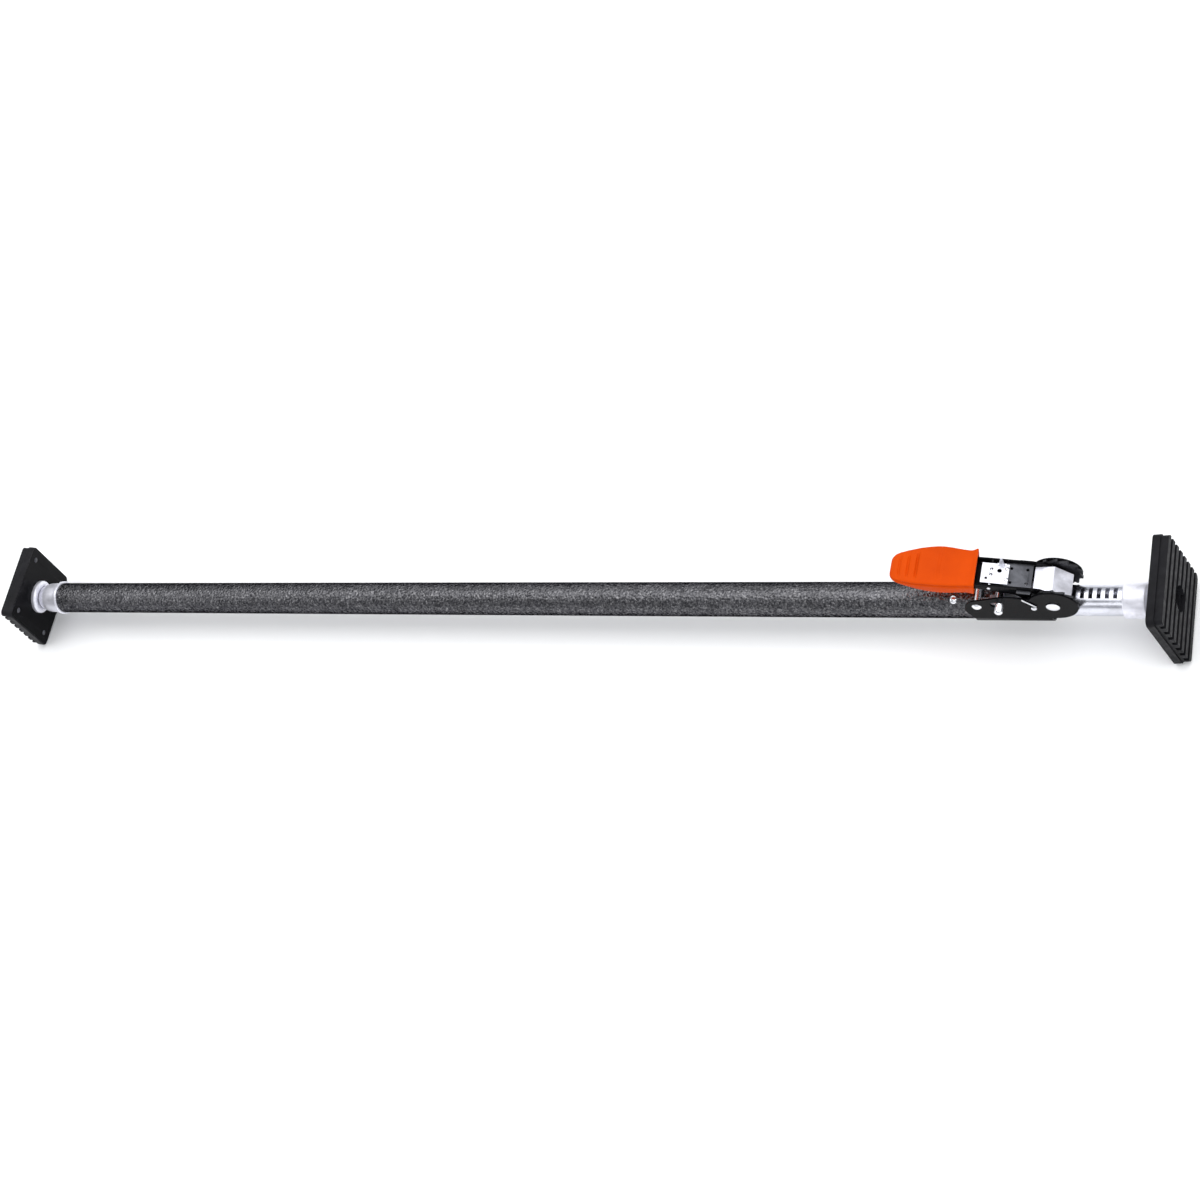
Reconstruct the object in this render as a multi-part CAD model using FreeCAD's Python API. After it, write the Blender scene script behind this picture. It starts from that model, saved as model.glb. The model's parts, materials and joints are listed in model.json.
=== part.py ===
"""Ratcheting cargo bar for a truck bed.

X runs along the bar, with the ratchet at the +X end. Z is up, the side the handle is on.
The origin is on the bar's axis, half way along the outer tube. All sizes are millimetres.
"""
import FreeCAD, Part
import math
import os

V = FreeCAD.Vector
os.makedirs("parts", exist_ok=True)

# Tubes
TUBE_R = 19.05
TUBE_WALL = 1.6
TUBE_HALF = 635.0
INNER_R = 15.875
INNER_WALL = 1.6
INNER_LEFT = 200.0
INNER_RIGHT = 740.0
TUBE_BORE_R = TUBE_R - TUBE_WALL
INNER_BORE_R = INNER_R - INNER_WALL
BUSH_LENGTH = 40.0
GLIDE_LENGTH = 24.0

# Clearances: a running fit on the radius, the air between moving bodies, a pressed seat
FIT = 0.08
GAP = 0.3
SNUG = 0.02

# Rack slots in the inner tube, and the pinion that walks along them
TEETH = 8
SLOT_PITCH = 8.25
SLOT_WIDE = 4.2
SLOT_LONG = 11.8
SLOTS_LEFT = 37
SLOTS_RIGHT = 7
PITCH_R = TEETH * SLOT_PITCH / (2 * math.pi)
PINION_TIP_R = PITCH_R + 2.1
PINION_ROOT_R = PITCH_R - 1.9
TOOTH_TIP = 1.8
TOOTH_ROOT = 3.6
PINION_HALF = 5.2

# The axle of the handle and the ratchet
AXLE_X = TUBE_HALF + 27.5
AXLE_Z = INNER_R - 0.78 + PITCH_R
AXLE_R = 6.3
AXLE_HEAD_R = 6.9
SLEEVE_R = 9.5

# Layers across the ratchet, half widths from the middle plane
GUARD_HALF = 13.8
EAR_IN = 14.2
EAR_OUT = 16.2
WHEEL_IN = 16.5
WHEEL_OUT = 18.9
PLATE_IN = 19.2
PLATE_OUT = 21.0
HEAD_OUT = 24.2

# Ratchet wheels
WHEEL_TEETH = 14
WHEEL_TIP_R = 26.0
WHEEL_ROOT_R = 22.3
TIP_LEAN = 1.5
TIP_SPAN = 6.0

# Handle, in its own frame: u runs from the axle to the tip, v square to it
HANDLE_RISE = 11.6
EAR_R = 12.0
FRAME_TOP = 22.0
FRAME_END = 132.0
GRIP_START = 78.0
GRIP_BEND = 114.0
GRIP_END = 165.5
GRIP_PIN_U = FRAME_END - 8.0
GRIP_PIN_V = 18.0
GRIP_PIN_R = 1.5
CROSS_PIN_U = 64.0
CROSS_PIN_V = 15.6
CROSS_PIN_R = 1.8

# Drive pawl and its finger pull, in the handle's frame
PAWL_LOW = 15.2
PAWL_T = 2.5
PAWL_FRONT = 22.6
PAWL_REAR = 50.0
PAWL_LOBE = 14.0
PAWL_TRAVEL = 5.0
PULL_END = 72.0
PULL_HALF = 11.5
PULL_T = 1.4

# Swivel joints and pads
LEFT_SWIVEL_X = -TUBE_HALF - 30.2
RIGHT_SWIVEL_X = AXLE_X + 90.7
LEFT_TILT = 12.1
RIGHT_TILT = -7.4
BALL_R = 9.6
SEAT_R = 11.6
NECK_R = 4.8
CUP_NOSE = 5.0
CUP_BACK = 14.5
SEAT_MOUTH = 4.4
COLLAR_R = 21.0
COLLAR_FRONT = 6.2
COLLAR_FLOOR = 9.6
DISH_R = 16.4
PAD_SIZE = 100.0
PAD_ROLL = 3.5
PAD_BACK = 12.4
PAD_BASE = 8.0
TREAD = 8.0
PLATE_T = 2.5
PAD_CORNER_R = 7.0
RIBS = 8
RIB_WIDE = 7.2
GROOVE_DEEP = 4.8
PAD_EDGE = 1.5
PLATE_EDGE = 2.0
PAD_HOLE_R = 13.5
PAD_BORE_R = 9.0
SCREW_HEAD_R = 8.6
SCREW_HEAD_T = 5.5
SCREW_R = 5.1
SCREW_KEY_R = 3.6
RIVET_INSET = 14.0
PAD_RIVET_R = 2.4
PAD_RIVET_HEAD_R = 3.4

# Bracket, guard, lock bar
BRACKET_LEFT = AXLE_X - 91.5
SADDLE_RIGHT = AXLE_X - 6.0
PLATE_END_R = 25.0
LOCK_Z = AXLE_Z - 1.15
LOCK_T = 2.5
LOCK_BAR_X = AXLE_X - 54.0
LOCK_BAR_Z = LOCK_Z + 3.4
LOCK_BAR_R = 4.2
LOCK_BAR_REACH = 29.5
LOCK_TRAVEL = 5.0
BOLT_X = AXLE_X - 78.5
BOLT_Z = TUBE_R + 4.3
BOLT_R = 3.5
BOLT_HEAD_R = 5.0
STOP_PIN_X = -19.3
STOP_PIN_Z = -1.5
STOP_PIN_R = 2.2
STOP_PIN_OUT = 2.2
WIRE_R = 0.9
WIRE_LEG = 17.5
STRAP_T = 1.5

# Rivets
BUSH_RIVET_R = 2.4
BUSH_RIVET_X = AXLE_X - 106.5
BUSH_RIVET_ANGLES = (118, -62)
GUARD_RIVET_R = 1.6
GUARD_RIVETS_X = (AXLE_X - 50.0, AXLE_X - 38.0)
SADDLE_RIVET_R = 2.4
SADDLE_RIVETS_X = (BRACKET_LEFT + 16, BRACKET_LEFT + 52)
RIVET_HEAD_R = 4.4

# A length that runs well past any piece it cuts
PAST = 40.0

ORIGIN = V(0, 0, 0)
X_AXIS = V(1, 0, 0)
Y_AXIS = V(0, 1, 0)
Z_AXIS = V(0, 0, 1)
AXLE = V(AXLE_X, 0, AXLE_Z)
SIDES = (-1, 1)


def save(name, *shapes):
    """Write one node, as one solid or as a group of separate solids."""
    solids = [solid for shape in shapes for solid in shape.Solids]
    shape = solids[0] if len(solids) == 1 else Part.makeCompound(solids)
    shape.exportStep("parts/" + name + ".step")


def rod(radius, start, end):
    """Cylinder between two points."""
    run = end - start
    return Part.makeCylinder(radius, run.Length, start, run)


def ring(outer, inner, start, end):
    """Tube between two points."""
    return rod(outer, start, end).cut(rod(inner, start, end))


def block(x0, x1, y0, y1, z0, z1):
    """Box between two corners."""
    return Part.makeBox(x1 - x0, y1 - y0, z1 - z0, V(x0, y0, z0))


def segments(points):
    """Straight edges through points, closed."""
    return [Part.LineSegment(a, b).toShape() for a, b in zip(points, points[1:] + points[:1])]


def prism(edges, depth):
    """Solid between y = -depth and y = depth, from an outline in the XZ plane."""
    face = Part.Face(Part.Wire(edges))
    face.translate(V(0, -depth, 0))
    return face.extrude(V(0, 2 * depth, 0))


def outline(points, depth):
    """Prism from (x, z) corners."""
    return prism(segments([V(x, 0, z) for x, z in points]), depth)


def turned(points, centre, direction):
    """Solid of revolution about the X line through centre, from (along, radius) points.

    along is counted from centre towards the tube: direction is +1 or -1.
    """
    corners = [V(centre.x + direction * along, 0, radius) for along, radius in points]
    face = Part.Face(Part.Wire(segments(corners)))
    return face.revolve(V(centre.x, 0, 0), X_AXIS, 360)


def dome(radius, height, base, direction):
    """Shallow spherical cap standing on base."""
    sphere_r = (radius ** 2 + height ** 2) / (2 * height)
    unit = V(direction).normalize()
    ball = Part.makeSphere(sphere_r, base + unit * (height - sphere_r))
    return ball.common(rod(radius, base, base + unit * (height + 1)))


def helix_spring(start, end, mean_r, wire_r, turns):
    """Coil spring between two points."""
    run = end - start
    coil = Part.makeHelix(run.Length / turns, run.Length, mean_r)
    profile = Part.Wire(Part.makeCircle(wire_r, V(mean_r, 0, 0), Y_AXIS))
    wire = Part.Wire(coil).makePipeShell([profile], True, True)
    wire.Placement = FreeCAD.Placement(start, FreeCAD.Rotation(Z_AXIS, run))
    return wire


# --- Tubes -------------------------------------------------------------------------------

def build_outer_tube():
    tube = ring(TUBE_R, TUBE_BORE_R, V(-TUBE_HALF, 0, 0), V(TUBE_HALF, 0, 0))
    tube = tube.cut(bush_rivet_holes())
    for x in GUARD_RIVETS_X:
        tube = tube.cut(rod(GUARD_RIVET_R + FIT, V(x, 0, 0), V(x, 0, TUBE_R + 1)))
    return tube


def radial(angle):
    """Unit vector square to the bar: 90 degrees is up, more than 90 leans to -Y."""
    return V(0, math.cos(math.radians(angle)), math.sin(math.radians(angle)))


def bush_rivet_holes():
    foot = V(BUSH_RIVET_X, 0, 0)
    return [rod(BUSH_RIVET_R, foot, foot + radial(angle) * PAST) for angle in BUSH_RIVET_ANGLES]


def build_tube_bush():
    """Plastic sleeve in the tube's mouth that guides the inner tube."""
    left = V(BUSH_RIVET_X - BUSH_LENGTH / 2, 0, 0)
    right = V(BUSH_RIVET_X + BUSH_LENGTH / 2, 0, 0)
    bush = ring(TUBE_BORE_R - SNUG, INNER_R + FIT, left, right)
    return bush.cut(bush_rivet_holes())


def build_bush_rivets():
    rivets = []
    for angle in BUSH_RIVET_ANGLES:
        out = radial(angle)
        foot = V(BUSH_RIVET_X, 0, 0)
        shank = rod(BUSH_RIVET_R, foot + out * (INNER_R + GAP), foot + out * (TUBE_R + 0.2))
        head = dome(RIVET_HEAD_R, 2.2, foot + out * (TUBE_R - 0.55), out)
        head = head.cut(rod(TUBE_R, foot - X_AXIS * PAST, foot + X_AXIS * PAST))
        rivets.append(shank.fuse(head))
    return rivets


def rack_slots():
    slots = []
    for index in range(-SLOTS_LEFT, SLOTS_RIGHT + 1):
        x = AXLE_X + index * SLOT_PITCH
        slots.append(block(x - SLOT_WIDE / 2, x + SLOT_WIDE / 2,
                           -SLOT_LONG / 2, SLOT_LONG / 2, INNER_R - 5, INNER_R + 1))
    return slots


def build_inner_tube():
    tube = ring(INNER_R, INNER_BORE_R, V(INNER_LEFT, 0, 0), V(INNER_RIGHT, 0, 0))
    return tube.cut(rack_slots())


def build_inner_glide():
    """Plastic collar on the hidden end of the inner tube."""
    left = V(INNER_LEFT - 3, 0, 0)
    collar = ring(TUBE_BORE_R - 0.1, INNER_R, left, V(INNER_LEFT + GLIDE_LENGTH, 0, 0))
    lip = ring(TUBE_BORE_R - 0.1, INNER_R - 4, left, V(INNER_LEFT, 0, 0))
    return collar.fuse(lip)


# --- Ends and swivel pads ----------------------------------------------------------------

def cup_nose():
    """Rounded nose of an end cup, from its mouth back to its full width."""
    return [(-CUP_NOSE, 0), (-CUP_NOSE, 12.6), (-4.2, 14.0), (-2.4, 15.2), (0, 15.8)]


def build_left_ferrule():
    """Pressed zinc cup on the plain end of the outer tube, with a lip over the tube's edge."""
    plug_r = TUBE_BORE_R - SNUG
    profile = cup_nose() + [
        (3.0, 17.0), (6.0, 18.0), (10.0, 18.6), (25.2, 18.9), (25.8, 20.4), (26.6, 21.2),
        (29.4, 21.2), (30.2, 20.4), (30.2, plug_r), (54.2, plug_r), (54.2, plug_r - 1.6),
        (24.0, plug_r - 1.6), (17.0, 12.0), (CUP_BACK, 0)]
    centre = V(LEFT_SWIVEL_X, 0, 0)
    return turned(profile, centre, 1).cut(Part.makeSphere(SEAT_R + FIT, centre))


def build_right_ferrule():
    """Zinc cup swaged over the end of the inner tube."""
    tube_end = RIGHT_SWIVEL_X - INNER_RIGHT
    profile = cup_nose() + [
        (2.2, 16.9), (3.6, 18.0), (4.8, 18.5), (24.6, 18.5), (25.6, 18.0), (26.2, 17.0),
        (26.2, INNER_R), (tube_end, INNER_R), (tube_end, 0)]
    centre = V(RIGHT_SWIVEL_X, 0, 0)
    return turned(profile, centre, -1).cut(Part.makeSphere(SEAT_R + FIT, centre))


def build_ball_stud(centre, direction):
    """Ball on a neck that is pressed into the pad's collar."""
    end = centre - X_AXIS * direction * PAD_BACK
    return Part.makeSphere(BALL_R, centre).fuse(rod(NECK_R, centre, end))


def build_seat(centre, direction):
    """Plastic liner between ball and cup, open towards the pad."""
    shell = Part.makeSphere(SEAT_R, centre).cut(Part.makeSphere(BALL_R + FIT, centre))
    outward = X_AXIS * -direction
    return shell.cut(rod(PAST, centre + outward * SEAT_MOUTH, centre + outward * PAST))


def build_collar(centre, direction):
    """Zinc flange on the pad's back, dished so that the cup can tilt in it."""
    profile = [(-PAD_BACK, 0), (-PAD_BACK, COLLAR_R), (-8.6, COLLAR_R), (-6.8, COLLAR_R - 1.4),
               (-COLLAR_FRONT, COLLAR_R - 2.6), (-COLLAR_FRONT, 0)]
    outward = X_AXIS * -direction
    floor = centre + outward * COLLAR_FLOOR
    dish = Part.makeSphere(DISH_R, centre).cut(rod(PAST, floor, floor + outward * PAST))
    bore = rod(NECK_R, centre, centre + outward * PAST)
    return turned(profile, centre, direction).cut([dish, bore])


def square_plate(centre, size, x0, x1, corner):
    """Rounded square slab standing across the bar."""
    half = size / 2
    slab = block(x0, x1, -half, half, -half, half)
    slab = slab.makeFillet(corner, [edge for edge in slab.Edges if along_x(edge)])
    slab.translate(centre)
    return slab


def along_x(edge):
    tangent = edge.tangentAt(edge.FirstParameter)
    return abs(abs(tangent.x) - 1) < 1e-6


def slab_between(centre, direction, size, near, far, corner):
    """Rounded square slab between two distances beyond the swivel."""
    ends = sorted((-direction * near, -direction * far))
    return square_plate(centre, size, ends[0], ends[1], corner)


def corner_places(centre, direction, depth):
    offset = PAD_SIZE / 2 - RIVET_INSET
    x = -direction * depth
    return [centre + V(x, y * offset, z * offset) for y in SIDES for z in SIDES]


def build_back_plate(centre, direction):
    plate = slab_between(centre, direction, PAD_SIZE - 2 * PLATE_EDGE, PAD_BACK,
                         PAD_BACK + PLATE_T, PAD_CORNER_R - PLATE_EDGE)
    outward = V(-direction, 0, 0)
    for place in corner_places(centre, direction, PAD_BACK - 1):
        plate = plate.cut(rod(PAD_RIVET_R + FIT, place, place + outward * PAST))
    return plate.cut(rod(SCREW_R + FIT, centre, centre + outward * PAST))


def build_pad(centre, direction):
    """Rubber pad: a smooth base and a tread of straight ribs that run across the bar."""
    top = PAD_BACK + PAD_BASE + TREAD
    outward = V(-direction, 0, 0)
    base = slab_between(centre, direction, PAD_SIZE, PAD_BACK, PAD_BACK + PAD_BASE, PAD_CORNER_R)
    tread_size = PAD_SIZE - 2 * PAD_EDGE
    tread = slab_between(centre, direction, tread_size, PAD_BACK + PAD_BASE, top,
                         PAD_CORNER_R - PAD_EDGE)
    grooves = []
    pitch = (tread_size - RIB_WIDE) / (RIBS - 1)
    for index in range(RIBS - 1):
        z = -tread_size / 2 + RIB_WIDE + index * pitch
        ends = sorted((-direction * (top - GROOVE_DEEP), -direction * (top + 1)))
        groove = block(ends[0], ends[1], -PAD_SIZE, PAD_SIZE, z, z + pitch - RIB_WIDE)
        grooves.append(groove.translated(centre))
    pad = base.fuse(tread).removeSplitter().cut(grooves)
    pad = pad.cut(slab_between(centre, direction, PAD_SIZE - 2 * PLATE_EDGE, PAD_BACK - 1,
                               PAD_BACK + PLATE_T, PAD_CORNER_R - PLATE_EDGE))
    pad = pad.cut(rod(PAD_HOLE_R, centre + outward * (PAD_BACK + PAD_BASE),
                      centre + outward * PAST))
    pad = pad.cut(rod(PAD_BORE_R, centre, centre + outward * PAST))
    for place in corner_places(centre, direction, PAD_BACK + PLATE_T - 1):
        pad = pad.cut(rod(PAD_RIVET_R + FIT, place, place + outward * 5))
    return pad


def build_pad_rivets(centre, direction):
    """Four short rivets that hold the rubber to its plate."""
    outward = V(-direction, 0, 0)
    rivets = []
    for place in corner_places(centre, direction, PAD_BACK):
        shank = rod(PAD_RIVET_R, place, place + outward * (PLATE_T + 3.6))
        rivets.append(shank.fuse(dome(PAD_RIVET_HEAD_R, 1.6, place, -outward)))
    return rivets


def build_pad_screw(centre, direction):
    """Socket-head screw through the pad, its plate and into the collar."""
    outward = V(-direction, 0, 0)
    seat = centre + outward * (PAD_BACK + PLATE_T)
    head = rod(SCREW_HEAD_R, seat, seat + outward * SCREW_HEAD_T)
    corners = [math.radians(60 * index) for index in range(7)]
    hexagon = Part.makePolygon([V(0, SCREW_KEY_R * math.cos(angle), SCREW_KEY_R * math.sin(angle))
                                for angle in corners])
    drive = Part.Face(hexagon).extrude(outward * SCREW_HEAD_T)
    drive.translate(seat + outward * 2.5)
    shank = rod(SCREW_R, centre + outward * PAD_BACK, seat)
    return head.fuse(shank).cut(drive)


def tilt(shape, centre, angle):
    shape.rotate(centre, Y_AXIS, angle)
    return shape


def settle(shape, centre, angle):
    """A square piece of the pad, turned a little round the bar and then tilted."""
    shape.rotate(centre, X_AXIS, PAD_ROLL)
    return tilt(shape, centre, angle)


def save_swivel(side, centre, direction, angle):
    """All pieces of one end's swivel and pad. direction points from the swivel to the tube."""
    save(side + "_ball_stud", tilt(build_ball_stud(centre, direction), centre, angle))
    save(side + "_ball_seat", tilt(build_seat(centre, direction), centre, angle))
    save(side + "_pad_collar", tilt(build_collar(centre, direction), centre, angle))
    save(side + "_back_plate", settle(build_back_plate(centre, direction), centre, angle))
    save(side + "_rubber_pad", settle(build_pad(centre, direction), centre, angle))
    rivets = [settle(rivet, centre, angle) for rivet in build_pad_rivets(centre, direction)]
    save(side + "_pad_rivets", *rivets)
    save(side + "_pad_screw", settle(build_pad_screw(centre, direction), centre, angle))


# --- Bracket and guard -------------------------------------------------------------------

def from_axle(x, z):
    return V(AXLE_X + x, 0, AXLE_Z + z)


def plate_outline():
    """Side plate outline: straight foot, humped back, round end about the axle."""
    left = BRACKET_LEFT - AXLE_X
    right = SADDLE_RIGHT - AXLE_X
    notch = 180 - 32
    on_end = from_axle(PLATE_END_R * math.cos(math.radians(notch)),
                       PLATE_END_R * math.sin(math.radians(notch)))
    end_low = from_axle(right + 4, -math.sqrt(PLATE_END_R ** 2 - (right + 4) ** 2))
    foot_left = V(BRACKET_LEFT + 6, 0, 0)
    foot_right = V(SADDLE_RIGHT, 0, 0)
    rise = V(BRACKET_LEFT, 0, 12)
    shoulder = from_axle(left + 9, 8.5)
    hump_left = from_axle(-60, 14.0)
    hump_top = from_axle(-45, 16.6)
    hump_right = from_axle(-31, 14.5)
    return [
        Part.LineSegment(foot_left, foot_right).toShape(),
        Part.LineSegment(foot_right, end_low).toShape(),
        Part.Arc(end_low, from_axle(PLATE_END_R, 0), on_end).toShape(),
        Part.LineSegment(on_end, hump_right).toShape(),
        Part.Arc(hump_right, hump_top, hump_left).toShape(),
        Part.LineSegment(hump_left, shoulder).toShape(),
        Part.Arc(shoulder, from_axle(left + 2.5, 1.5), rise).toShape(),
        Part.LineSegment(rise, foot_left).toShape(),
    ]


def build_bracket():
    """One sheet-steel stirrup: two side plates joined under the tube."""
    between = block(BRACKET_LEFT - PAST, AXLE_X + PAST, -PLATE_IN, PLATE_IN, -1, 2 * PAST)
    plates = prism(plate_outline(), PLATE_OUT).cut(between)
    under = ring(PLATE_OUT, PLATE_IN, V(BRACKET_LEFT + 6, 0, 0), V(SADDLE_RIGHT, 0, 0))
    under = under.common(block(BRACKET_LEFT, SADDLE_RIGHT, -PAST, PAST, -PAST, 0))
    bracket = plates.fuse(under).removeSplitter()
    bracket = bracket.cut(across(AXLE_R + FIT, -PAST, PAST))
    bolt = bolt_centre()
    bracket = bracket.cut(rod(BOLT_R, bolt - Y_AXIS * PAST, bolt + Y_AXIS * PAST))
    pin = stop_pin_centre()
    bracket = bracket.cut(rod(STOP_PIN_R, pin - Y_AXIS * PAST, pin))
    for place in SADDLE_RIVETS_X:
        bracket = bracket.cut(rod(SADDLE_RIVET_R, V(place, 0, 0), V(place, 0, -PAST)))
    slot_r = LOCK_BAR_R + GAP
    slot = block(LOCK_BAR_X - LOCK_TRAVEL, LOCK_BAR_X, -PAST, PAST,
                 LOCK_BAR_Z - slot_r, LOCK_BAR_Z + slot_r)
    for x in (LOCK_BAR_X - LOCK_TRAVEL, LOCK_BAR_X):
        slot = slot.fuse(rod(slot_r, V(x, -PAST, LOCK_BAR_Z), V(x, PAST, LOCK_BAR_Z)))
    return bracket.cut(slot)


def stop_pin_centre():
    return from_axle(STOP_PIN_X, STOP_PIN_Z) - Y_AXIS * PLATE_IN


def bolt_centre():
    return V(BOLT_X, 0, BOLT_Z)


def build_saddle_rivets():
    """Rivets up through the stirrup into the tube's wall."""
    rivets = []
    for x in SADDLE_RIVETS_X:
        shank = rod(SADDLE_RIVET_R, V(x, 0, -TUBE_R - 0.05), V(x, 0, -PLATE_OUT - 0.2))
        head = dome(RIVET_HEAD_R, 2.0, V(x, 0, -PLATE_OUT + 0.5), -Z_AXIS)
        head = head.cut(rod(PLATE_OUT, V(x - PAST, 0, 0), V(x + PAST, 0, 0)))
        rivets.append(shank.fuse(head))
    return rivets


def build_rear_bolt():
    """Cross bolt over the tube, with a domed head outside each plate."""
    centre = bolt_centre()
    end = Y_AXIS * (PLATE_OUT + 0.1)
    bolt = rod(BOLT_R, centre - end, centre + end)
    for side in SIDES:
        seat = centre + Y_AXIS * side * PLATE_OUT
        bolt = bolt.fuse(dome(BOLT_HEAD_R, 2.2, seat, Y_AXIS * side))
    return bolt


def build_stop_pin():
    """Small headed pin on the near plate that anchors the retaining wire."""
    centre = stop_pin_centre()
    end = centre - Y_AXIS * (PLATE_OUT - PLATE_IN + STOP_PIN_OUT)
    return rod(STOP_PIN_R, centre, end).fuse(dome(STOP_PIN_R + 0.8, 1.4, end, -Y_AXIS))


def build_retaining_wire():
    """Spring wire that loops round the stop pin and runs up to the plate's hump."""
    loop_r = STOP_PIN_R + WIRE_R + 0.05
    pin = stop_pin_centre()
    centre = V(pin.x, -PLATE_OUT - WIRE_R - 0.05, pin.z)
    loop = Part.makeTorus(loop_r, WIRE_R, centre, Y_AXIS)
    along = V(-12.0, 0, 14.5).normalize()
    start = centre + V(along.z, 0, -along.x) * loop_r
    end = start + along * WIRE_LEG
    return loop.fuse([rod(WIRE_R, start, end), Part.makeSphere(WIRE_R, end)])


def build_gear_guard():
    """Bent zinc strap: a foot on the tube, a wall, a flat roof and a sloping front."""
    foot_z = TUBE_R + STRAP_T
    outer = [(-62, foot_z), (-19.2, foot_z), (-17.6, foot_z + 1.6), (-17.6, AXLE_Z + 19.0),
             (2.0, AXLE_Z + 19.6), (17.8, AXLE_Z + 3.2)]
    inner = [(16.6, AXLE_Z + 2.2), (1.4, AXLE_Z + 18.1), (-16.1, AXLE_Z + 17.6),
             (-16.1, foot_z + 0.9), (-18.5, TUBE_R), (-62, TUBE_R)]
    points = [(AXLE_X + x, z) for x, z in outer + inner]
    guard = outline(points, GUARD_HALF)
    waist = block(AXLE_X - 70, AXLE_X - 22, GUARD_HALF - 3.3, GUARD_HALF + 1, 0, 30)
    guard = guard.cut([waist, waist.mirror(ORIGIN, Y_AXIS)])
    for x in GUARD_RIVETS_X:
        guard = guard.cut(rod(GUARD_RIVET_R + FIT, V(x, 0, 0), V(x, 0, PAST)))
    return guard


def build_guard_rivets():
    rivets = []
    for x in GUARD_RIVETS_X:
        seat = V(x, 0, TUBE_R + STRAP_T)
        shank = rod(GUARD_RIVET_R, V(x, 0, INNER_R + 2 * GAP), seat)
        rivets.append(shank.fuse(dome(3.2, 1.2, seat, Z_AXIS)))
    return rivets


# --- Spindle -----------------------------------------------------------------------------

def across(radius, y0, y1):
    """Cylinder on the axle's line between two planes."""
    return rod(radius, AXLE + Y_AXIS * y0, AXLE + Y_AXIS * y1)


def build_axle():
    """Riveted axle with a domed head outside each plate."""
    flange_in = PLATE_OUT + GAP
    flange_out = PLATE_OUT + 1.4
    axle = across(AXLE_R, -flange_in, flange_in)
    for side in SIDES:
        flange = across(AXLE_HEAD_R, side * flange_in, side * flange_out)
        seat = AXLE + Y_AXIS * side * flange_out
        cap = dome(AXLE_HEAD_R, HEAD_OUT - flange_out, seat, Y_AXIS * side)
        axle = axle.fuse([flange, cap])
    return axle


def build_pinion():
    """Eight straight teeth that drop into the slots of the inner tube."""
    gear = across(PINION_ROOT_R, -PINION_HALF, PINION_HALF)
    sunk = -PINION_ROOT_R + 0.6
    corners = [(-TOOTH_ROOT / 2, sunk), (-TOOTH_ROOT / 2, -PINION_ROOT_R),
               (-TOOTH_TIP / 2, -PINION_TIP_R), (TOOTH_TIP / 2, -PINION_TIP_R),
               (TOOTH_ROOT / 2, -PINION_ROOT_R), (TOOTH_ROOT / 2, sunk)]
    for index in range(TEETH):
        tooth = outline(corners, PINION_HALF)
        tooth.rotate(ORIGIN, Y_AXIS, index * 360.0 / TEETH)
        gear = gear.fuse(tooth.translated(AXLE))
    return gear.removeSplitter().cut(across(AXLE_R, -PINION_HALF, PINION_HALF))


def build_sleeves():
    """Spacers between the pinion and the handle's ears."""
    sleeves = []
    for side in SIDES:
        near = side * PINION_HALF
        far = side * (EAR_IN - GAP)
        sleeves.append(across(SLEEVE_R, near, far).cut(across(AXLE_R, near, far)))
    return sleeves


def build_wheel(side):
    """Saw-toothed ratchet wheel: steep faces take the load, long backs let the pawl ride."""
    corners = []
    for index in range(WHEEL_TEETH):
        angle = index * 360.0 / WHEEL_TEETH
        corners.append(polar(WHEEL_ROOT_R, angle))
        corners.append(polar(WHEEL_TIP_R, angle + TIP_LEAN))
        corners.append(polar(WHEEL_TIP_R, angle + TIP_SPAN))
    wheel = prism(segments(corners), (WHEEL_OUT - WHEEL_IN) / 2)
    wheel.translate(AXLE + Y_AXIS * side * (WHEEL_IN + WHEEL_OUT) / 2)
    return wheel.cut(across(AXLE_R, -PAST, PAST))


def polar(radius, angle):
    return V(radius * math.cos(math.radians(angle)), 0, radius * math.sin(math.radians(angle)))


# --- Handle and drive pawl ---------------------------------------------------------------

def set_handle(shape):
    """Move a shape from the handle's frame (-u, y, v) to its place on the bar."""
    shape.rotate(ORIGIN, Y_AXIS, HANDLE_RISE)
    shape.translate(AXLE)
    return shape


def handle_side():
    """Closed outline of the handle's flange, in (-u, v)."""
    start = polar(EAR_R, -90)
    front = polar(EAR_R, 0)
    crown = polar(EAR_R, 58)
    points = [crown, V(-14, 0, FRAME_TOP), V(-FRAME_END, 0, FRAME_TOP - 1.5),
              V(-FRAME_END, 0, 13.5),
              V(-GRIP_START + 4, 0, 12.6), V(-38, 0, 7.5), V(-16, 0, -9.0), start]
    edges = [Part.Arc(start, polar(EAR_R, -45), front).toShape(),
             Part.Arc(front, polar(EAR_R, 29), crown).toShape()]
    edges += [Part.LineSegment(a, b).toShape() for a, b in zip(points, points[1:])]
    return edges


def build_handle_frame():
    """Folded channel, open on top, with two ears on the axle and windows for the pawl."""
    frame = prism(handle_side(), EAR_OUT)
    hollow = outline([(20, -20), (20, PAST), (-FRAME_END - 1, PAST), (-FRAME_END - 1, 15.5),
                      (-GRIP_START + 4, 14.6), (-38, 9.5), (-31, 4.2), (-31, -20)], EAR_IN)
    window = block(-PAWL_FRONT - PAWL_LOBE - 2 - PAWL_TRAVEL, -PAWL_FRONT + 1.5, -PAST, PAST,
                   PAWL_LOW - GAP, PAWL_LOW + PAWL_T + GAP)
    bore = rod(AXLE_R + FIT, V(0, -PAST, 0), V(0, PAST, 0))
    return set_handle(frame.cut([hollow, window, bore, cross_pin_rod(), grip_pin_rod()]))


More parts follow.
